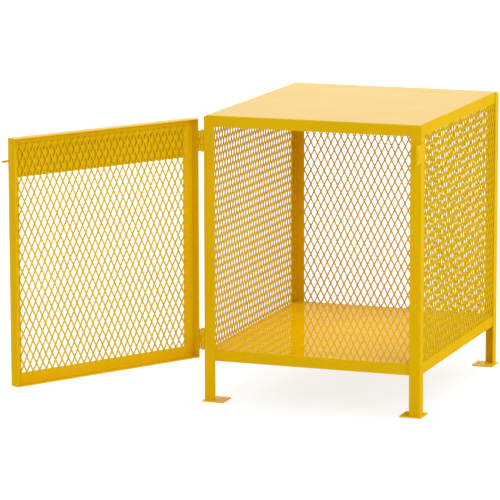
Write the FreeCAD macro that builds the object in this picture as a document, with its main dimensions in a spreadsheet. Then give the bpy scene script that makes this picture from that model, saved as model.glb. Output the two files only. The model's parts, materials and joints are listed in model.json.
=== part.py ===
import FreeCAD, Part
import os
import Sketcher

# A steel storage cabinet for gas cylinders: four angle-iron posts on foot plates, a folded roof pan and
# floor pan, expanded-metal walls and a mesh door on two butt hinges, closed by a slide bolt.
# Millimetres. The origin is on the ground, midway between the four anchor holes. +X is to the right for
# someone facing the door side, -Y is the front, +Z is up. The door is modelled standing open.

SIZES = [
    # Overall frame
    ("cabinet_width", 762.0),
    ("cabinet_depth", 914.4),
    ("cabinet_height", 978.7),
    ("floor_top", 179.8),
    # Angle iron of the posts and of the door frame
    ("angle_leg", 38.1),
    ("angle_wall", 3.2),
    ("angle_root_radius", 4.8),
    ("root_clearance", 1.2),
    # Roof pan and floor pan
    ("roof_rise", 4.0),
    ("pan_flange", 38.1),
    ("pan_wall", 2.7),
    ("pan_bend_radius", 4.5),
    # Foot plates
    ("foot_side", 76.2),
    ("foot_wall", 4.8),
    ("foot_overhang", 7.0),
    ("anchor_hole_radius", 7.1),
    ("anchor_inset_across", 53.0),
    ("anchor_inset_deep", 34.0),
    # Expanded metal
    ("mesh_wall", 3.0),
    ("mesh_pitch_across", 90.0),
    ("mesh_pitch_up", 180.0),
    ("mesh_strand", 16.0),
    ("mesh_lap", 25.0),
    # Door
    ("door_lock_margin", 18.0),
    ("door_top_margin", 12.7),
    ("door_bottom_margin", 8.3),
    ("door_gap", 1.5),
    ("door_open_angle", 121.5),
    ("door_mesh_lap", 3.0),
    ("door_mesh_rise", 14.0),
    ("sign_plate_height", 127.0),
    ("sign_plate_wall", 1.9),
    ("sign_plate_inset", 6.0),
    # Hinges
    ("hinge_height", 70.0),
    ("hinge_upper_inset", 75.0),
    ("hinge_lower_inset", 64.0),
    ("leaf_wall", 4.0),
    ("leaf_reach", 30.0),
    ("knuckle_radius", 8.0),
    ("knuckle_gap", 0.5),
    ("pin_radius", 3.2),
    ("pin_clearance", 0.05),
    ("pin_setback", 6.0),
    ("pin_head_radius", 4.5),
    ("pin_head_height", 3.5),
    ("pin_tail", 2.0),
    # Slide bolt, its guides and its slotted keeper
    ("lock_drop", 90.7),
    ("bolt_radius", 4.0),
    ("bolt_clearance", 0.08),
    ("bolt_tip_clearance", 1.0),
    ("bolt_throw", 22.0),
    ("bolt_draw", 20.0),
    ("bolt_tail", 15.0),
    ("handle_reach", 30.0),
    ("handle_clearance", 1.0),
    ("guide_length", 24.0),
    ("guide_radius", 7.5),
    ("guide_edge_inset", 12.0),
    ("keeper_wall", 3.2),
    ("keeper_height", 63.5),
    ("keeper_overlap", 33.0),
    ("keeper_front_strip", 6.0),
    ("keeper_slot_width", 12.0),
    ("keeper_slot_height", 35.0),
]

# Two lengths closer than this are the same
SAME_LENGTH = 1e-4
# A diamond that the border leaves smaller than this share of a whole one is filled in
SMALLEST_DIAMOND = 1 / 12

doc = FreeCAD.newDocument("gas_cylinder_cabinet")
sheet = doc.addObject("Spreadsheet::Sheet", "Sizes")
pieces = []


class Size:
    """A length with its number and the sheet expression that gives it."""

    def __init__(self, number, text):
        self.number = number
        self.text = text

    def join(self, sign, other, number):
        return Size(number, f"({self.text} {sign} {as_size(other).text})")

    def __add__(self, other):
        return self.join("+", other, self.number + as_size(other).number)

    def __sub__(self, other):
        return self.join("-", other, self.number - as_size(other).number)

    def __mul__(self, other):
        return self.join("*", other, self.number * as_size(other).number)

    def __truediv__(self, other):
        return self.join("/", other, self.number / as_size(other).number)

    def __neg__(self):
        return Size(-self.number, f"(0 - {self.text})")

    def __float__(self):
        return self.number


def as_size(value):
    return value if isinstance(value, Size) else Size(float(value), str(value))


def fill_sheet():
    """Write every driving size into the sheet and give it back by name."""
    found = {}
    for row, (alias, value) in enumerate(SIZES, start=1):
        sheet.set(f"A{row}", alias)
        sheet.set(f"B{row}", str(value))
        sheet.setAlias(f"B{row}", alias)
        found[alias] = Size(value, f"Sizes.{alias}")
    doc.recompute()
    return found


s = fill_sheet()
ZERO = Size(0.0, "0")
half_width = s["cabinet_width"] / 2
half_depth = s["cabinet_depth"] / 2
post_top = s["cabinet_height"] - s["roof_rise"]
pan_corner_radius = s["angle_root_radius"] + s["root_clearance"]

# The closed door, measured from its hinge pin: across is +X, up is +Z and the outside is -Y
pin_x = -half_width - s["knuckle_radius"]
pin_y = s["pin_setback"] - half_depth
door_width = s["cabinet_width"] - s["door_lock_margin"]
door_left = s["knuckle_radius"]
door_right = door_left + door_width
door_bottom = s["floor_top"] - s["pan_flange"] + s["door_bottom_margin"]
door_top = s["cabinet_height"] - s["door_top_margin"]
door_toe = -(s["pin_setback"] + s["door_gap"])
door_face = door_toe - s["angle_leg"]
plate_face = door_face - s["sign_plate_wall"]
bolt_line = plate_face - s["guide_radius"]
lock_height = s["cabinet_height"] - s["lock_drop"]


def bind(thing, prop, value):
    thing.setExpression(prop, as_size(value).text)


def vector(x, y, z):
    return FreeCAD.Vector(float(x), float(y), float(z))


def keep(thing, name):
    """Mark a finished piece, which is then written under its own name."""
    thing.Label = name
    pieces.append(thing)
    return thing


def place(thing, x, y, z, turn=0):
    """Turn a piece about Z and bind where it stands."""
    thing.Placement = FreeCAD.Placement(vector(x, y, z), FreeCAD.Rotation(FreeCAD.Vector(0, 0, 1), turn))
    bind(thing, "Placement.Base.x", x)
    bind(thing, "Placement.Base.y", y)
    bind(thing, "Placement.Base.z", z)
    return thing


# A piece drawn along Z, laid along the door
ALONG_DOOR = FreeCAD.Rotation(
    FreeCAD.Vector(0, 1, 0), FreeCAD.Vector(0, 0, 1), FreeCAD.Vector(1, 0, 0), "XYZ")

# How the open door stands: the closed door turned about its pin
door_pose = FreeCAD.Placement(vector(pin_x, pin_y, 0), FreeCAD.Rotation(
    FreeCAD.Vector(0, 0, 1), -float(s["door_open_angle"])))


def hang(thing, x=ZERO, y=ZERO, z=ZERO, rotation=FreeCAD.Rotation()):
    """Carry a piece from its place in the closed door to the open door."""
    thing.Placement = door_pose.multiply(FreeCAD.Placement(vector(x, y, z), rotation))
    return thing


def new_body(name):
    return doc.addObject("PartDesign::Body", name)


def new_sketch(body, name, role):
    sketch = body.newObject("Sketcher::SketchObject", name)
    plane = [feature for feature in body.Origin.OriginFeatures if feature.Role == role][0]
    sketch.AttachmentSupport = [(plane, "")]
    sketch.MapMode = "FlatFace"
    return sketch


def outline(sketch, corners):
    """Draw a closed outline of straight lines whose corners are bound to the sheet."""
    points = [vector(x, y, 0) for x, y in corners]
    first = sketch.GeometryCount
    count = len(points)
    for index in range(count):
        sketch.addGeometry(Part.LineSegment(points[index], points[(index + 1) % count]))
    for index in range(count):
        sketch.addConstraint(Sketcher.Constraint(
            "Coincident", first + index, 2, first + (index + 1) % count, 1))
    for index, (x, y) in enumerate(corners):
        fix_point(sketch, first + index, 1, x, y)


def circle(sketch, x, y, radius):
    line = sketch.addGeometry(Part.Circle(vector(x, y, 0), FreeCAD.Vector(0, 0, 1), float(radius)))
    fix_point(sketch, line, 3, x, y)
    number = sketch.addConstraint(Sketcher.Constraint("Radius", line, float(radius)))
    bind(sketch, f"Constraints[{number}]", radius)


def fix_point(sketch, line, end, x, y):
    """Hold a point by its distances from the sketch's origin, or on an axis where it lies on one."""
    for kind, value, axis in (("DistanceX", x, -2), ("DistanceY", y, -1)):
        if value is ZERO:
            sketch.addConstraint(Sketcher.Constraint("PointOnObject", line, end, axis))
            continue
        number = sketch.addConstraint(Sketcher.Constraint(kind, -1, 1, line, end, float(value)))
        bind(sketch, f"Constraints[{number}]", value)


def pad(body, name, sketch, length):
    feature = body.newObject("PartDesign::Pad", name)
    feature.Profile = sketch
    bind(feature, "Length", length)
    doc.recompute()
    return feature


def cut_through(body, name, sketch):
    """Cut a sketch through the whole piece and make sure that it took material away."""
    before = body.Shape.Volume
    feature = body.newObject("PartDesign::Pocket", name)
    feature.Profile = sketch
    feature.Type = "ThroughAll"
    feature.Midplane = True
    doc.recompute()
    if body.Shape.Volume >= before:
        raise RuntimeError(f"{name} cuts nothing")
    return feature


def round_edges(body, name, base, wanted, radius):
    """Fillet the edges of a feature that the test picks."""
    names = [f"Edge{index}" for index, edge in enumerate(base.Shape.Edges, start=1) if wanted(edge)]
    feature = body.newObject("PartDesign::Fillet", name)
    feature.Base = (base, names)
    bind(feature, "Radius", radius)
    doc.recompute()
    return feature


def near(value, target):
    return abs(value - float(target)) < SAME_LENGTH


def box(name, length, width, height, x, y, z):
    thing = doc.addObject("Part::Box", name)
    bind(thing, "Length", length)
    bind(thing, "Width", width)
    bind(thing, "Height", height)
    return place(thing, x, y, z)


def cylinder(name, radius, height, x, y, z):
    thing = doc.addObject("Part::Cylinder", name)
    bind(thing, "Radius", radius)
    bind(thing, "Height", height)
    return place(thing, x, y, z)


def fuse(name, *things):
    joined = doc.addObject("Part::MultiFuse", name)
    joined.Shapes = list(things)
    joined.Refine = True
    return joined


def cut(name, base, tool):
    left = doc.addObject("Part::Cut", name)
    left.Base = base
    left.Tool = tool
    return left


def post(name, x, y, turn):
    """A length of angle iron whose outer corner is the cabinet's corner."""
    leg, wall = s["angle_leg"], s["angle_wall"]
    body = new_body(name)
    section = new_sketch(body, name + "_section", "XY_Plane")
    outline(section, [(ZERO, ZERO), (leg, ZERO), (leg, wall), (wall, wall), (wall, leg), (ZERO, leg)])
    length = pad(body, name + "_length", section, post_top - s["foot_wall"])
    round_edges(body, name + "_root", length, lambda edge: near(edge.CenterOfMass.x, wall)
                and near(edge.CenterOfMass.y, wall) and len(edge.Vertexes) == 2
                and near(edge.Vertexes[0].X, edge.Vertexes[1].X), s["angle_root_radius"])
    keep(place(body, x, y, s["foot_wall"], turn), name)


def foot(name, side, end):
    """A square foot plate, welded under a post, with an anchor hole on its inner side."""
    reach_x = half_width + s["foot_overhang"]
    reach_y = half_depth + s["foot_overhang"]
    hole_x = (half_width - s["anchor_inset_across"]) * side
    hole_y = (half_depth - s["anchor_inset_deep"]) * end
    x = reach_x - s["foot_side"] if side > 0 else -reach_x
    y = reach_y - s["foot_side"] if end > 0 else -reach_y
    plate = box(name + "_plate", s["foot_side"], s["foot_side"], s["foot_wall"], x, y, ZERO)
    hole = cylinder(name + "_hole", s["anchor_hole_radius"], s["foot_wall"], hole_x, hole_y, ZERO)
    keep(cut(name, plate, hole), name)


def pan(name, top):
    """A sheet folded down on all four sides, standing inside the four posts."""
    across = s["cabinet_width"] - s["angle_wall"] * 2
    deep = s["cabinet_depth"] - s["angle_wall"] * 2
    wall, height = s["pan_wall"], s["pan_flange"]
    body = new_body(name)
    outside = new_sketch(body, name + "_outside", "XY_Plane")
    outline(outside, [(ZERO, ZERO), (across, ZERO), (across, deep), (ZERO, deep)])
    block = pad(body, name + "_block", outside, height)
    corners = round_edges(body, name + "_corners", block,
                          lambda edge: near(edge.CenterOfMass.z, height / 2), pan_corner_radius)
    bends = round_edges(body, name + "_bends", corners,
                        lambda edge: near(edge.CenterOfMass.z, height), s["pan_bend_radius"])
    inside = new_sketch(body, name + "_inside", "XY_Plane")
    far_x, far_y = across - wall, deep - wall
    outline(inside, [(wall, wall), (far_x, wall), (far_x, far_y), (wall, far_y)])
    hollow = body.newObject("PartDesign::Pocket", name + "_hollow")
    hollow.Profile = inside
    hollow.Reversed = True
    depth = height - wall
    bind(hollow, "Length", depth)
    doc.recompute()
    if body.Shape.Volume >= bends.Shape.Volume:
        raise RuntimeError(f"{name} is not hollow")
    keep(place(body, -across / 2, -deep / 2, top - height), name)


def clip(points, axis, limit, keep_above):
    """Cut a convex outline back to one side of a straight line."""
    kept = []
    for index, start in enumerate(points):
        stop = points[(index + 1) % len(points)]
        inside = [(point[axis] >= limit) == keep_above for point in (start, stop)]
        if inside[0]:
            kept.append(start)
        if inside[0] != inside[1]:
            share = (limit - start[axis]) / (stop[axis] - start[axis])
            kept.append(tuple(a + (b - a) * share for a, b in zip(start, stop)))
    return kept


def area(points):
    total = 0.0
    for index, (x, y) in enumerate(points):
        next_x, next_y = points[(index + 1) % len(points)]
        total += x * next_y - next_x * y
    return abs(total) / 2


def closed_wire(points):
    corners = [FreeCAD.Vector(x, y, 0) for x, y in points]
    return Part.makePolygon(corners + corners[:1])


def expanded_metal(width, height, border_x, border_y):
    """A sheet slit and drawn into diamonds, long way up, as one face with a diamond in every gap.

    The diamonds are larger than the real ones. They are centred on the sheet and cut off at its border.
    """
    half_across = float(s["mesh_pitch_across"]) / 2
    half_up = float(s["mesh_pitch_up"]) / 2
    strand = float(s["mesh_strand"])
    between_strands = 2 * half_across * half_up / (half_across ** 2 + half_up ** 2) ** 0.5
    open_share = 1 - strand / between_strands
    gap = [(half_across * open_share, 0), (0, half_up * open_share),
           (-half_across * open_share, 0), (0, -half_up * open_share)]
    least_area = area(gap) * SMALLEST_DIAMOND
    limits = ((0, border_x, True), (0, width - border_x, False),
              (1, border_y, True), (1, height - border_y, False))
    columns = int(width / 2 / half_across) + 1
    rows = int(height / 2 / half_up) + 1
    wires = [closed_wire([(0, 0), (width, 0), (width, height), (0, height)])]
    for column in range(-columns, columns + 1):
        for row in range(-rows, rows + 1):
            if (column + row) % 2:
                continue
            centre = (width / 2 + column * half_across, height / 2 + row * half_up)
            points = [(centre[0] + x, centre[1] + y) for x, y in gap]
            for axis, limit, above in limits:
                points = clip(points, axis, limit, above)
            if len(points) > 2 and area(points) > least_area:
                wires.append(closed_wire(points))
    flat = Part.makeFace(wires, "Part::FaceMakerBullseye")
    return flat.extrude(FreeCAD.Vector(0, 0, float(s["mesh_wall"])))


def mesh_sheet(name, width, height, border_x, border_y):
    """A mesh panel drawn flat in X and Y, to be stood up by its placement."""
    panel = doc.addObject("Part::Feature", name)
    panel.Shape = expanded_metal(float(width), float(height), float(border_x), float(border_y))
    return keep(panel, name)


def side_mesh(name, side):
    """A mesh wall lapped on the inner faces of two posts, between the floor and the roof pan's flange."""
    edge = half_depth - s["angle_wall"] - pan_corner_radius
    top = s["cabinet_height"] - s["pan_flange"]
    lap = s["angle_leg"] - s["angle_wall"] - pan_corner_radius
    panel = mesh_sheet(name, edge * 2, top - s["floor_top"], lap, s["mesh_strand"])
    inner = half_width - s["angle_wall"] - s["mesh_wall"]
    x = inner if side > 0 else -half_width + s["angle_wall"]
    panel.Placement = FreeCAD.Placement(vector(x, -edge, s["floor_top"]), FreeCAD.Rotation(
        FreeCAD.Vector(0, 1, 0), FreeCAD.Vector(0, 0, 1), FreeCAD.Vector(1, 0, 0), "XYZ"))


def back_mesh(name):
    """The rear wall, let in between the rear posts and lapped on the rear flanges of both pans."""
    edge = half_width - s["angle_leg"]
    bottom = s["floor_top"] - s["mesh_lap"]
    top = s["cabinet_height"] - s["pan_flange"] + s["mesh_lap"]
    panel = mesh_sheet(name, edge * 2, top - bottom, s["mesh_strand"], s["mesh_strand"])
    seat = half_depth - s["angle_wall"]
    panel.Placement = FreeCAD.Placement(vector(edge, seat, bottom), FreeCAD.Rotation(
        FreeCAD.Vector(-1, 0, 0), FreeCAD.Vector(0, 0, 1), FreeCAD.Vector(0, 1, 0), "XYZ"))


def door_member(name, length, corner, along, inward):
    """One mitred length of the door's angle frame: a flange in the door's face and one turned inward."""
    leg, wall = s["angle_leg"], s["angle_wall"]
    body = new_body(name)
    face = new_sketch(body, name + "_face", "XY_Plane")
    outline(face, [(ZERO, ZERO), (length, ZERO), (length - leg, leg), (leg, leg)])
    pad(body, name + "_face_flange", face, wall)
    edge = new_sketch(body, name + "_edge", "XY_Plane")
    outline(edge, [(ZERO, ZERO), (length, ZERO), (length - wall, wall), (wall, wall)])
    turned = pad(body, name + "_turned_flange", edge, leg)
    round_edges(body, name + "_root", turned, lambda edge: near(edge.CenterOfMass.y, wall)
                and near(edge.CenterOfMass.z, wall), s["angle_root_radius"])
    rotation = FreeCAD.Rotation(along, inward, along.cross(inward), "XYZ")
    keep(hang(body, *corner, rotation), name)


def door_frame():
    across, up = FreeCAD.Vector(1, 0, 0), FreeCAD.Vector(0, 0, 1)
    height = door_top - door_bottom
    door_member("door_hinge_stile", height, (door_left, door_face, door_bottom), up, across)
    door_member("door_lock_stile", height, (door_right, door_face, door_top), -up, -across)
    door_member("door_top_rail", door_width, (door_left, door_face, door_top), across, -up)
    door_member("door_bottom_rail", door_width, (door_right, door_face, door_bottom), -across, up)


def door_mesh(name):
    """The door's mesh, lapped on the inner side of the face flanges and farthest on the top rail."""
    lap, strand = s["door_mesh_lap"], s["mesh_strand"]
    edge = s["angle_leg"] - lap
    height = door_top - door_bottom - edge - s["angle_leg"] + s["door_mesh_rise"]
    panel = mesh_sheet(name, door_width - edge * 2, height, strand, strand)
    hang(panel, door_right - edge, door_face + s["angle_wall"], door_bottom + edge, FreeCAD.Rotation(
        FreeCAD.Vector(-1, 0, 0), FreeCAD.Vector(0, 0, 1), FreeCAD.Vector(0, 1, 0), "XYZ"))


def sign_plate(name):
    """A bare plate across the top of the door, on the outside of its frame."""
    inset = s["sign_plate_inset"]
    plate = doc.addObject("Part::Box", name)
    bind(plate, "Length", door_width - inset * 2)
    bind(plate, "Width", s["sign_plate_wall"])
    bind(plate, "Height", s["sign_plate_height"])
    keep(hang(plate, door_left + inset, plate_face, door_top - inset - s["sign_plate_height"]), name)


def leaf(name, bottom, levels, side):
    """A hinge leaf about the pin's axis: a plate with rolled knuckles at the given thirds of its height.

    The side is +1 for the leaf that runs back along the post and -1 for the one on the door.
    """
    radius, wall = s["knuckle_radius"], s["leaf_wall"]
    notch = radius + s["knuckle_gap"]
    third = s["hinge_height"] / 3
    inner = radius - wall
    y = notch if side > 0 else -s["leaf_reach"]
    parts = [box(name + "_plate", wall, s["leaf_reach"] - notch, s["hinge_height"], inner, y, bottom)]
    for level in levels:
        low = bottom + third * level + s["knuckle_gap"] / 2
        high = third - s["knuckle_gap"]
        parts.append(cylinder(f"{name}_knuckle_{level}", radius, high, ZERO, ZERO, low))
        web_y = ZERO if side > 0 else -notch
        parts.append(box(f"{name}_web_{level}", wall, notch, high, inner, web_y, low))
    solid = fuse(name + "_solid", *parts)
    bore_radius = s["pin_radius"] + s["pin_clearance"]
    return cut(name, solid, cylinder(name + "_bore", bore_radius, s["hinge_height"], ZERO, ZERO, bottom))


def hinge(name, middle):
    bottom = middle - s["hinge_height"] / 2
    top = bottom + s["hinge_height"] - s["knuckle_gap"] / 2
    post_leaf = leaf(name + "_post_leaf", bottom, (0, 2), 1)
    keep(place(post_leaf, pin_x, pin_y, ZERO), name + "_post_leaf")
    keep(hang(leaf(name + "_door_leaf", bottom, (1,), -1)), name + "_door_leaf")
    tail = bottom - s["pin_tail"]
    shank = cylinder(name + "_pin_shank", s["pin_radius"], top - tail, pin_x, pin_y, tail)
    head = cylinder(name + "_pin_head", s["pin_head_radius"], s["pin_head_height"], pin_x, pin_y, top)
    keep(fuse(name + "_pin", shank, head), name + "_pin")


def keeper(name):
    """The slotted plate on the lock side post that the bolt is thrown through."""
    slot_width, slot_height = s["keeper_slot_width"], s["keeper_slot_height"]
    slot_y = pin_y + bolt_line
    front = slot_y - slot_width / 2 - s["keeper_front_strip"]
    back = s["keeper_overlap"] - half_depth
    bottom = lock_height - s["keeper_height"] / 2
    body = new_body(name)
    face = new_sketch(body, name + "_face", "YZ_Plane")
    outline(face, [(front, bottom), (back, bottom), (back, bottom + s["keeper_height"]),
                   (front, bottom + s["keeper_height"])])
    plate = pad(body, name + "_plate", face, s["keeper_wall"])
    round_edges(body, name + "_corners", plate, lambda edge: near(edge.CenterOfMass.y, front)
                and near(edge.Length, s["keeper_wall"]), s["keeper_front_strip"] / 2)
    opening = new_sketch(body, name + "_opening", "YZ_Plane")
    half_straight = (slot_height - slot_width) / 2
    near_y, far_y = slot_y - slot_width / 2, slot_y + slot_width / 2
    low, high = lock_height - half_straight, lock_height + half_straight
    outline(opening, [(near_y, low), (far_y, low), (far_y, high), (near_y, high)])
    cut_through(body, name + "_slot", opening)
    for end, middle in (("lower", low), ("upper", high)):
        arch = new_sketch(body, f"{name}_{end}_arch", "YZ_Plane")
        circle(arch, slot_y, middle, slot_width / 2)
        cut_through(body, f"{name}_{end}_end", arch)
    keep(place(body, half_width, ZERO, ZERO), name)


def bolt_lock():
    """A slide bolt in two guides on the sign plate, drawn back just short of the keeper."""
    radius = s["bolt_radius"]
    tip = s["cabinet_width"] + s["knuckle_radius"] - s["bolt_tip_clearance"]
    outer_guide = door_right - s["guide_edge_inset"] - s["guide_length"]
    handle = outer_guide - s["handle_clearance"] - radius - s["bolt_throw"]
    inner_guide = handle - s["bolt_draw"] - radius - s["handle_clearance"] - s["guide_length"]
    for name, left in (("bolt_guide_outer", outer_guide), ("bolt_guide_inner", inner_guide)):
        bolt_guide(name, left)
    start = inner_guide - s["bolt_draw"] - s["bolt_tail"]
    rod = cylinder("bolt_rod", radius, tip - start, ZERO, ZERO, start)
    grip = cylinder("bolt_grip", radius, s["handle_reach"], ZERO, ZERO, ZERO)
    grip.Placement = FreeCAD.Placement(vector(0, 0, handle), FreeCAD.Rotation(FreeCAD.Vector(0, 1, 0), -90))
    bind(grip, "Placement.Base.z", handle)
    bolt = fuse("slide_bolt", rod, grip)
    keep(hang(bolt, ZERO, bolt_line, lock_height, ALONG_DOOR), "slide_bolt")


def bolt_guide(name, left):
    """A guide block with a flat seat on the plate, a round back and a bore for the bolt."""
    radius, length = s["guide_radius"], s["guide_length"]
    seat = box(name + "_seat", radius, radius * 2, length, ZERO, -radius, ZERO)
    back = cylinder(name + "_back", radius, length, ZERO, ZERO, ZERO)
    bore = cylinder(name + "_bore", s["bolt_radius"] + s["bolt_clearance"], length, ZERO, ZERO, ZERO)
    block = cut(name, fuse(name + "_block", seat, back), bore)
    keep(hang(block, left, bolt_line, lock_height, ALONG_DOOR), name)


def build():
    corners = (("front_left", -1, -1, 0), ("front_right", 1, -1, 90),
               ("rear_right", 1, 1, 180), ("rear_left", -1, 1, 270))
    for corner, side, end, turn in corners:
        post("post_" + corner, half_width * side, half_depth * end, turn)
        foot("foot_" + corner, side, end)
    pan("roof_pan", s["cabinet_height"])
    pan("floor_pan", s["floor_top"])
    side_mesh("mesh_left", -1)
    side_mesh("mesh_right", 1)
    back_mesh("mesh_back")
    door_frame()
    door_mesh("door_mesh")
    sign_plate("door_sign_plate")
    hinge("hinge_upper", door_top - s["hinge_upper_inset"])
    hinge("hinge_lower", door_bottom + s["hinge_lower_inset"])
    keeper("bolt_keeper")
    bolt_lock()
    doc.recompute()


def write():
    """Check every object and piece, then write each piece under its own name."""
    for thing in doc.Objects:
        if "Invalid" in thing.State or "Error" in thing.State:
            raise RuntimeError(f"{thing.Label} failed: {thing.State}")
    for piece in pieces:
        if piece.Shape.isNull() or not piece.Shape.isValid() or len(piece.Shape.Solids) != 1:
            raise RuntimeError(f"{piece.Label} is not one valid solid")
    os.makedirs("parts", exist_ok=True)
    for piece in pieces:
        piece.Shape.exportStep(f"parts/{piece.Label}.step")


build()
write()
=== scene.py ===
import json
import math

import bmesh
import bpy
from mathutils import Matrix, Vector


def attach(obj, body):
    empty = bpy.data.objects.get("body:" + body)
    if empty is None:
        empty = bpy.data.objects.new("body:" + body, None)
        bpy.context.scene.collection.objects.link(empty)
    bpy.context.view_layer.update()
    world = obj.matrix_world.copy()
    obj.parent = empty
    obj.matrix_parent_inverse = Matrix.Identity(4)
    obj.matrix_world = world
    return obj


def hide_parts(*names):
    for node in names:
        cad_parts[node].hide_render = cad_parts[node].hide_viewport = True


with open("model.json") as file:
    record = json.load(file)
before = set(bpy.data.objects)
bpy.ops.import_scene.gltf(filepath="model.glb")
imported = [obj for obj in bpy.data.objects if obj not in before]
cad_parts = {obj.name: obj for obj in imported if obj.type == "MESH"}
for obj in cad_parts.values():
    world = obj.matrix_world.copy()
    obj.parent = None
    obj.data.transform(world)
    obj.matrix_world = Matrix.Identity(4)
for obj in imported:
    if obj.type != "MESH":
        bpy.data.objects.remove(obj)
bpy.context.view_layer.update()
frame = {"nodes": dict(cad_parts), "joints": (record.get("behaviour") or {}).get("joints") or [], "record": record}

# A yellow steel storage cage for gas cylinders, with its mesh door standing open.
# Metres, in the frame of the solids: +X to the right of someone facing the door side, -Y the front, +Z up.

UP = Vector((0, 0, 1))

# Flattened expanded metal, long way up
DIAMOND_ACROSS = 0.0254
DIAMOND_UP = 0.0513
STRAND = 0.0047
STRAND_EDGE = 0.00025
BOND_ROUNDING = 0.0010
# Diamonds drawn past the edges of a panel, which are cut off again
SPARE_DIAMONDS = 3
# Shares of a diamond, across and up, that lay a row of bonds along the lower edge of the door's plate
DOOR_CUT = (0.33, 0.18)

# Points this near are one point, and gaps this wide are closed
SAME_POINT = 1e-6
JOIN_GAP = 1e-5
# A point's reach is nought in the middle of a diamond and one on its outer sides; below this it lies inside
INSIDE = 0.999

# Rounding that paint and rolling leave on the edges of the steel
STEEL_EDGE = 0.0006
SHARP_ANGLE = math.radians(30)

# Safety yellow, linear: the darker and the lighter shade of its faint clouds
FRAME_YELLOW = ((0.742, 0.443, 0.001, 1), (0.781, 0.483, 0.004, 1))
MESH_YELLOW = ((0.672, 0.436, 0.001, 1), (0.716, 0.486, 0.004, 1))
# The plate's yellow is lighter than the frame's: painted light that makes up for the shade the door's mesh casts
# on the plate behind it
SHADE_LIFTED_PLATE_YELLOW = ((0.780, 0.463, 0.002, 1), (0.815, 0.503, 0.005, 1))
# The feet's yellow is lighter still: painted light that makes up for the shade the cage casts on the feet and the
# floor round them
SHADE_LIFTED_FOOT_YELLOW = ((0.840, 0.520, 0.002, 1), (0.875, 0.560, 0.005, 1))
CLOUD_SCALE = 5.0
CLOUD_DETAIL = 4.0
CLOUD_STOPS = (0.25, 0.75)
PAINT_ROUGHNESS = 0.5

# Fine skin of sprayed paint
SKIN_SCALE = 420.0
SKIN_DETAIL = 2.0
SKIN_HEIGHT = 0.0004

# Clear gloss, and how far it varies over a face
GLOSS_ROUGHNESS = 0.004
GLOSS_SCALE = 38.0
GLOSS_DETAIL = 3.0
GLOSS_RANGE = 0.1
NOISE_MIDDLE = 0.5
# Share of the gloss of a level face that an upright one keeps, and how level a face is between the two
UPRIGHT_GLOSS = 0.06
SLOPING = 0.90
LEVEL = 0.99
# Share of its gloss that paint keeps near the ground, where cylinders and boots scuff it
SCUFFED_GLOSS = 0.68
SCUFFED_BELOW = 0.2
CLEAN_ABOVE = 0.3


class Shade:
    """A socket of a finish, with arithmetic that adds Math nodes."""

    def __init__(self, finish, socket):
        self.finish = finish
        self.socket = socket

    def math(self, operation, first, second):
        return self.finish.node("ShaderNodeMath", {"operation": operation}, {0: first, 1: second})

    def __add__(self, other):
        return self.math("ADD", self, other)

    def __sub__(self, other):
        return self.math("SUBTRACT", self, other)

    def __rsub__(self, other):
        return self.math("SUBTRACT", other, self)

    def __mul__(self, other):
        return self.math("MULTIPLY", self, other)

    __radd__ = __add__
    __rmul__ = __mul__

    def most(self, other):
        return self.math("MAXIMUM", self, other)


class Finish:
    """A material or world made of nodes."""

    def __init__(self, owner):
        owner.use_nodes = True
        self.owner = owner
        self.tree = owner.node_tree
        self.tree.nodes.clear()

    def node(self, kind, settings=None, inputs=None, output=0):
        """Add a node, set it, fill or link its sockets and give one of its outputs."""
        made = self.tree.nodes.new(kind)
        for name, value in (settings or {}).items():
            if name == "stops":
                for stop, (position, colour) in zip(made.color_ramp.elements, value):
                    stop.position = position
                    stop.color = colour
            else:
                setattr(made, name, value)
        for name, value in (inputs or {}).items():
            if isinstance(value, Shade):
                self.tree.links.new(value.socket, made.inputs[name])
            else:
                made.inputs[name].default_value = value
        return Shade(self, made.outputs[output]) if made.outputs else None

    def place(self):
        return self.node("ShaderNodeTexCoord", output="Object")

    def noise(self, scale, detail):
        return self.node("ShaderNodeTexNoise", None, {
            "Vector": self.place(), "Scale": scale, "Detail": detail})

    def share(self, value, low, high, least):
        """The least share where a value is low or lower, and all where it is high or higher."""
        return self.node("ShaderNodeMapRange", None, {
            "Value": value, "From Min": low, "From Max": high, "To Min": least, "To Max": 1.0})

    def seen(self):
        """One where the camera, a reflection or a clear piece looks, and nothing where light is gathered."""
        path = [self.node("ShaderNodeLightPath", output=name)
                for name in ("Is Camera Ray", "Is Glossy Ray", "Is Transmission Ray")]
        return path[0].most(path[1]).most(path[2])


def paint(name, shades, gloss, skin):
    """Yellow spray paint: faintly clouded, with a fine skin and most gloss where it flowed out level."""
    finish = Finish(bpy.data.materials.new(name))
    clouds = finish.noise(CLOUD_SCALE, CLOUD_DETAIL)
    colour = finish.node("ShaderNodeValToRGB", {"stops": tuple(zip(CLOUD_STOPS, shades))}, {"Fac": clouds})
    facing = finish.node("ShaderNodeTexCoord", output="Normal")
    upward = finish.node("ShaderNodeSeparateXYZ", None, {0: facing}, output="Z")
    height = finish.node("ShaderNodeSeparateXYZ", None, {0: finish.place()}, output="Z")
    flow = finish.share(upward, SLOPING, LEVEL, UPRIGHT_GLOSS)
    wear = finish.share(height, SCUFFED_BELOW, CLEAN_ABOVE, SCUFFED_GLOSS)
    sheen = flow * wear * (gloss + (finish.noise(GLOSS_SCALE, GLOSS_DETAIL) - NOISE_MIDDLE) * GLOSS_RANGE)
    bumps = finish.node("ShaderNodeBump", None, {
        "Strength": skin, "Distance": SKIN_HEIGHT, "Height": finish.noise(SKIN_SCALE, SKIN_DETAIL)})
    surface = finish.node("ShaderNodeBsdfPrincipled", None, {
        "Base Color": colour, "Roughness": PAINT_ROUGHNESS, "Specular IOR Level": 0.0, "Coat Weight": sheen,
        "Coat Roughness": GLOSS_ROUGHNESS, "Normal": bumps})
    finish.node("ShaderNodeOutputMaterial", None, {"Surface": surface})
    return finish.owner


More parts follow.
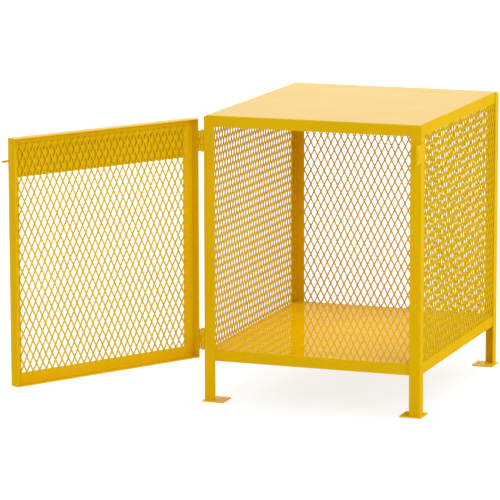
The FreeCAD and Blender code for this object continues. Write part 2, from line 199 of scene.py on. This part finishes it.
PAINTS = {"frame_paint": paint("frame_paint", FRAME_YELLOW, gloss=0.66, skin=0.02),
          "mesh_paint": paint("mesh_paint", MESH_YELLOW, gloss=0.6, skin=0.05),
          "hardware_paint": paint("hardware_paint", FRAME_YELLOW, gloss=0.6, skin=0.08)}
# Lighter copy of the paint for the door's plate: painted light against the mesh's shade on it
SHADE_LIFTED_PLATE_PAINT = paint("shade_lifted_plate_paint", SHADE_LIFTED_PLATE_YELLOW, gloss=0.6, skin=0.02)
# Lighter copy of the paint for the feet: painted light against the cage's shade on them
SHADE_LIFTED_FOOT_PAINT = paint("shade_lifted_foot_paint", SHADE_LIFTED_FOOT_YELLOW, gloss=0.5, skin=0.02)
SHADE_LIFTED_PAINTS = {"door_sign_plate": SHADE_LIFTED_PLATE_PAINT, "foot_front_left": SHADE_LIFTED_FOOT_PAINT, "foot_front_right": SHADE_LIFTED_FOOT_PAINT,
              "foot_rear_left": SHADE_LIFTED_FOOT_PAINT, "foot_rear_right": SHADE_LIFTED_FOOT_PAINT}


def new_piece(name, shape, body, slot):
    """Turn a finished bmesh into a piece that rides on a body."""
    mesh = bpy.data.meshes.new(name)
    shape.to_mesh(mesh)
    shape.free()
    piece = bpy.data.objects.new(name, mesh)
    bpy.context.scene.collection.objects.link(piece)
    mesh.materials.append(PAINTS[slot])
    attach(piece, body)
    return piece


def everything(shape):
    return shape.verts[:] + shape.edges[:] + shape.faces[:]


def extent(node, axis):
    """How far a node of the solids reaches along an axis."""
    reaches = [vertex.co.dot(axis) for vertex in frame["nodes"][node].data.vertices]
    return min(reaches), max(reaches)


def repeat(shape, step, count):
    """Add copies of a shape, each one step further on."""
    bmesh.ops.spin(shape, geom=everything(shape), cent=(0, 0, 0), axis=UP, dvec=step, angle=0, steps=count,
                   use_duplicate=True)


def inside(vertex):
    """Whether a point of a diamond lies off its outer sides."""
    return 2 * abs(vertex.co.x) / DIAMOND_ACROSS + 2 * abs(vertex.co.y) / DIAMOND_UP < INSIDE


def diamond(wall):
    """One drawn diamond: four half strands round an opening, open on its outer sides."""
    cell = bmesh.new()
    bmesh.ops.create_circle(cell, cap_ends=True, segments=4, radius=0.5)
    bmesh.ops.scale(cell, vec=(DIAMOND_ACROSS, DIAMOND_UP, 1), verts=cell.verts)
    strands = bmesh.ops.inset_region(cell, faces=cell.faces[:], thickness=STRAND / 2, use_boundary=True,
                                     use_even_offset=True)["faces"]
    opening = [face for face in cell.faces if face not in strands]
    corners = [vertex for vertex in opening[0].verts if abs(vertex.co.y) < SAME_POINT]
    bmesh.ops.delete(cell, geom=opening, context="FACES_ONLY")
    bmesh.ops.bevel(cell, geom=corners, offset=BOND_ROUNDING, offset_type="OFFSET", affect="VERTICES",
                    segments=2, profile=0.5, material=-1)
    bmesh.ops.translate(cell, vec=UP * wall / 2, verts=cell.verts)
    rim = [edge for edge in cell.edges if edge.is_boundary and all(inside(vertex) for vertex in edge.verts)]
    made = bmesh.ops.extrude_edge_only(cell, edges=rim)["geom"]
    walls = [vertex for vertex in made if isinstance(vertex, bmesh.types.BMVert)]
    bmesh.ops.translate(cell, vec=-UP * wall / 2, verts=walls)
    bmesh.ops.bevel(cell, geom=rim, offset=STRAND_EDGE, offset_type="OFFSET", affect="EDGES", segments=1,
                    profile=0.5, material=-1)
    bmesh.ops.mirror(cell, geom=everything(cell), axis="Z", merge_dist=SAME_POINT)
    return cell


def mesh_panel(name, node, across, body, cut=(0, 0)):
    """Expanded metal in the place of a node of the solids, cut off square at its edges.

    Its pattern lies off the middle of the sheet by the shares of a diamond in cut.
    """
    normal = across.cross(UP)
    low_a, high_a = extent(node, across)
    low_u, high_u = extent(node, UP)
    low_n, high_n = extent(node, normal)
    panel = diamond(high_n - low_n)
    half = Vector((DIAMOND_ACROSS / 2, DIAMOND_UP / 2, 0))
    repeat(panel, half, 1)
    columns = math.ceil((high_a - low_a) / DIAMOND_ACROSS) + SPARE_DIAMONDS
    rows = math.ceil((high_u - low_u) / DIAMOND_UP) + SPARE_DIAMONDS
    repeat(panel, Vector((DIAMOND_ACROSS, 0, 0)), columns)
    repeat(panel, Vector((0, DIAMOND_UP, 0)), rows)
    bmesh.ops.remove_doubles(panel, verts=panel.verts, dist=JOIN_GAP)
    middle = Vector(((low_a + high_a) / 2, (low_u + high_u) / 2, (low_n + high_n) / 2))
    centre = Vector(((columns / 2 - cut[0]) * DIAMOND_ACROSS, (rows / 2 - cut[1]) * DIAMOND_UP, 0))
    bmesh.ops.translate(panel, vec=middle - centre, verts=panel.verts)
    for axis, low, high in ((Vector((1, 0, 0)), low_a, high_a), (Vector((0, 1, 0)), low_u, high_u)):
        for point, outward in ((low, -axis), (high, axis)):
            sheared = bmesh.ops.bisect_plane(panel, geom=everything(panel), dist=SAME_POINT,
                                             plane_co=axis * point, plane_no=outward,
                                             clear_outer=True)["geom_cut"]
            ends = [edge for edge in sheared if isinstance(edge, bmesh.types.BMEdge) and edge.is_boundary]
            bmesh.ops.holes_fill(panel, edges=ends, sides=0)
    bmesh.ops.recalc_face_normals(panel, faces=panel.faces)
    bmesh.ops.transform(panel, matrix=Matrix((across, UP, normal)).transposed().to_4x4(), verts=panel.verts)
    piece = new_piece(name, panel, body, "mesh_paint")
    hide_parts(node)
    return piece


def round_steel(thing):
    """Join the triangles of a solid and round its sharp edges."""
    weld = thing.modifiers.new("joined", "WELD")
    weld.merge_threshold = JOIN_GAP
    edge = thing.modifiers.new("edges", "BEVEL")
    edge.width = STEEL_EDGE
    edge.segments = 2
    edge.limit_method = "ANGLE"
    edge.angle_limit = SHARP_ANGLE
    edge.harden_normals = True


door_across = next(Vector(joint["axis"]) for joint in frame["joints"] if joint["name"] == "bolt_slide")
mesh_panel("expanded_metal_left", "mesh_left", Vector((0, -1, 0)), "cabinet")
mesh_panel("expanded_metal_right", "mesh_right", Vector((0, 1, 0)), "cabinet")
mesh_panel("expanded_metal_back", "mesh_back", Vector((-1, 0, 0)), "cabinet")
mesh_panel("expanded_metal_door", "door_mesh", door_across, "door", DOOR_CUT)

slots = {part["node"]: part["material_slot"] for part in frame["record"]["subparts"]}
for name, thing in frame["nodes"].items():
    thing.data.materials.clear()
    # The plate and the feet take their lighter paints, painted light against the shade that falls on them; every
    # other part keeps the paint of its slot
    thing.data.materials.append(SHADE_LIFTED_PAINTS.get(name, PAINTS[slots[name]]))
    round_steel(thing)


# Floor, light and camera

FLOOR_DROP = 0.0005
FLOOR_SIZE = 60.0
# Greys of the floor where light is gathered and where it is seen, and of its glow at shares of a reach
FLOOR_LIT = 0.92
FLOOR_SEEN = 0.30
FLOOR_GLOW = ((0.15, 0.78), (0.5, 1.0))
GLOW_REACH = 10.0
BACKGROUND_LIGHT = 0.55
BACKGROUND_SEEN = 1.0

# The photograph's view, for a square picture: millimetres, metres and degrees
SENSOR = 36.0
LENS = 239.128
CAMERA_SPOT = (3.55818, -10.72220, 2.50882)
CAMERA_YAW = 20.1894
CAMERA_PITCH = -10.2498
CAMERA_ROLL = 0.1367


def grey(level):
    return (level, level, level, 1)


def floor():
    """A pale floor that keeps the object's shadow and fades into the white."""
    shape = bmesh.new()
    bmesh.ops.create_grid(shape, x_segments=1, y_segments=1, size=FLOOR_SIZE / 2)
    bmesh.ops.translate(shape, vec=-UP * FLOOR_DROP, verts=shape.verts)
    mesh = bpy.data.meshes.new("floor")
    shape.to_mesh(mesh)
    shape.free()
    ground = bpy.data.objects.new("floor", mesh)
    bpy.context.scene.collection.objects.link(ground)
    finish = Finish(bpy.data.materials.new("pale_floor"))
    lit = finish.node("ShaderNodeBsdfDiffuse", None, {"Color": grey(FLOOR_LIT)})
    shown = finish.node("ShaderNodeBsdfDiffuse", None, {"Color": grey(FLOOR_SEEN)})
    away = finish.node("ShaderNodeVectorMath", {"operation": "LENGTH"}, {0: finish.place()}, output="Value")
    stops = tuple((share, grey(level)) for share, level in FLOOR_GLOW)
    glow = finish.node("ShaderNodeValToRGB", {"stops": stops}, {"Fac": away * (1 / GLOW_REACH)})
    white = finish.node("ShaderNodeEmission", None, {"Color": glow, "Strength": BACKGROUND_SEEN})
    pale = finish.node("ShaderNodeAddShader", None, {0: shown, 1: white})
    surface = finish.node("ShaderNodeMixShader", None, {0: finish.seen(), 1: lit, 2: pale})
    finish.node("ShaderNodeOutputMaterial", None, {"Surface": surface})
    mesh.materials.append(finish.owner)


def surroundings():
    """Soft light from all round, seen as plain white."""
    world = bpy.data.worlds.new("studio")
    bpy.context.scene.world = world
    finish = Finish(world)
    soft = finish.node("ShaderNodeBackground", None, {"Color": grey(1), "Strength": BACKGROUND_LIGHT})
    white = finish.node("ShaderNodeBackground", None, {"Color": grey(1), "Strength": BACKGROUND_SEEN})
    surface = finish.node("ShaderNodeMixShader", None, {0: finish.seen(), 1: soft, 2: white})
    finish.node("ShaderNodeOutputWorld", None, {"Surface": surface})


def lamp(name, spot, aim, size, power, spread=math.pi):
    """A round soft lamp that is neither seen nor mirrored: metres and watts."""
    light = bpy.data.lights.new(name, "AREA")
    light.shape = "DISK"
    light.size = size
    light.energy = power
    light.spread = spread
    holder = bpy.data.objects.new(name, light)
    holder.location = spot
    holder.rotation_euler = (Vector(aim) - Vector(spot)).to_track_quat("-Z", "Y").to_euler()
    holder.visible_camera = False
    holder.visible_glossy = False
    bpy.context.scene.collection.objects.link(holder)


def camera():
    view = bpy.data.cameras.new("photo_view")
    view.sensor_width = SENSOR
    view.lens = LENS
    holder = bpy.data.objects.new("photo_view", view)
    yaw = Matrix.Rotation(math.radians(CAMERA_YAW), 4, "Z")
    pitch = Matrix.Rotation(math.radians(CAMERA_PITCH), 4, "X")
    roll = Matrix.Rotation(math.radians(CAMERA_ROLL), 4, "Y")
    level = Matrix.Rotation(math.pi / 2, 4, "X")
    holder.matrix_world = Matrix.Translation(CAMERA_SPOT) @ yaw @ pitch @ roll @ level
    bpy.context.scene.collection.objects.link(holder)
    bpy.context.scene.camera = holder


floor()
surroundings()
lamp("key", spot=(7.0, -1.4, 5.5), aim=(0, 0, 0.5), size=12.5, power=400)
lamp("front", spot=(3.0, -8.5, 4.0), aim=(0, 0, 0.4), size=7.0, power=88)
lamp("top", spot=(0, -0.5, 9.0), aim=(0, 0, 0.4), size=6.0, power=66)
lamp("left", spot=(-6.5, 2.0, 5.0), aim=(0, 0, 0.4), size=6.0, power=285)
lamp("back", spot=(0.5, 7.5, 7.5), aim=(0, 0, 0.4), size=6.0, power=275)
lamp("bay", spot=(0, 0, 0.925), aim=(0, 0, 0.2), size=0.65, power=0.75, spread=math.radians(105))
camera()

bpy.context.scene.view_settings.view_transform = "Standard"
